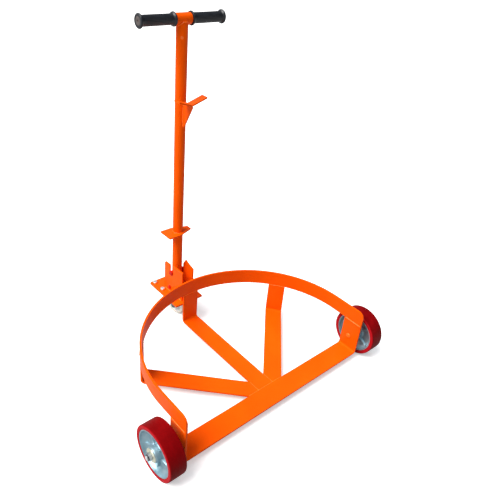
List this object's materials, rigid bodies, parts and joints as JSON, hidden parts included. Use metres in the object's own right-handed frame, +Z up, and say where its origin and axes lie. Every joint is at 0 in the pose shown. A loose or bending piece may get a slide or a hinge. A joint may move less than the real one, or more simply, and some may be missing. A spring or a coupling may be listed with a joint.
{
  "type": "drum dolly",
  "caption": "Low steel drum dolly: open half-ring frame on side wheels and a swivel caster, with a tilting T handle, drum hook and bung plate.",
  "frame": {"origin": "on the floor under the middle of the object's overall box", "axes": "+Z up, +X across to the right along the axle line, +Y rearwards from the open front to the handle and caster"},
  "size_m": [0.8488, 0.6454, 0.9734],
  "materials": {
    "orange_paint": "glossy powder coat",
    "red_polyurethane": "satin polyurethane tread",
    "cast_core": "cast, painted silver",
    "zinc_plate": "bright zinc plate",
    "pale_cap": "pale yellow zinc plate",
    "black_rubber": "smooth black rubber",
    "cream_plastic": "moulded cream",
    "pale_plastic": "moulded pale grey"
  },
  "bodies": {
    "frame": {"front_bar": "orange_paint", "left_spoke": "orange_paint", "middle_spoke": "orange_paint", "right_spoke": "orange_paint", "ring_band": "orange_paint", "caster_mount_plate": "orange_paint", "caster_top_plate": "zinc_plate", "bracket_plate_left": "orange_paint", "bracket_plate_right": "orange_paint", "handle_stop_plate": "orange_paint", "lower_cross_pin": "orange_paint", "axle_left": "zinc_plate", "axle_right": "zinc_plate", "axle_spacer_left": "zinc_plate", "axle_spacer_right": "zinc_plate", "axle_washer_left": "pale_cap", "axle_washer_right": "pale_cap", "axle_nut_left": "zinc_plate", "axle_nut_right": "zinc_plate", "plate_bolt_1": "zinc_plate", "plate_bolt_2": "zinc_plate", "plate_bolt_3": "zinc_plate", "plate_bolt_4": "zinc_plate", "plate_nut_1": "zinc_plate", "plate_nut_2": "zinc_plate", "plate_nut_3": "zinc_plate", "plate_nut_4": "zinc_plate"},
    "left_wheel": {"wheel_tread_left": "red_polyurethane", "wheel_core_left": "cast_core", "wheel_bearing_left": "zinc_plate"},
    "right_wheel": {"wheel_tread_right": "red_polyurethane", "wheel_core_right": "cast_core", "wheel_bearing_right": "zinc_plate"},
    "caster_swivel": {"caster_race": "zinc_plate", "caster_kingpin": "zinc_plate", "caster_fork": "zinc_plate", "caster_axle_bolt": "zinc_plate", "caster_axle_nut": "zinc_plate"},
    "caster_wheel": {"caster_wheel_tread": "cream_plastic", "caster_wheel_core": "pale_plastic"},
    "handle": {"handle_tube": "orange_paint", "handle_tbar": "orange_paint", "tee_sleeve": "orange_paint", "grip_left": "black_rubber", "grip_right": "black_rubber", "pivot_pin": "orange_paint", "bung_wrench_plate": "orange_paint", "hook_bar": "orange_paint", "hook_gusset": "orange_paint"}
  },
  "joints": [
    {"name": "left_wheel_spin", "type": "hinge", "parent": "frame", "child": "left_wheel", "pos_m": [-0.381, -0.2465, 0.0762], "axis": [1, 0, 0], "continuous": true},
    {"name": "right_wheel_spin", "type": "hinge", "parent": "frame", "child": "right_wheel", "pos_m": [0.381, -0.2465, 0.0762], "axis": [1, 0, 0], "continuous": true},
    {"name": "caster_swivel_turn", "type": "hinge", "parent": "frame", "child": "caster_swivel", "pos_m": [0, 0.2882, 0.09], "axis": [0, 0, 1], "continuous": true},
    {"name": "caster_wheel_spin", "type": "hinge", "parent": "caster_swivel", "child": "caster_wheel", "pos_m": [0.00977, 0.24223, 0.038], "axis": [0.9781, 0.2079, 0], "continuous": true},
    {"name": "handle_tilt", "type": "hinge", "parent": "frame", "child": "handle", "pos_m": [0, 0.2377, 0.1765], "axis": [-1, 0, 0], "range_deg": [0, 80]}
  ]
}
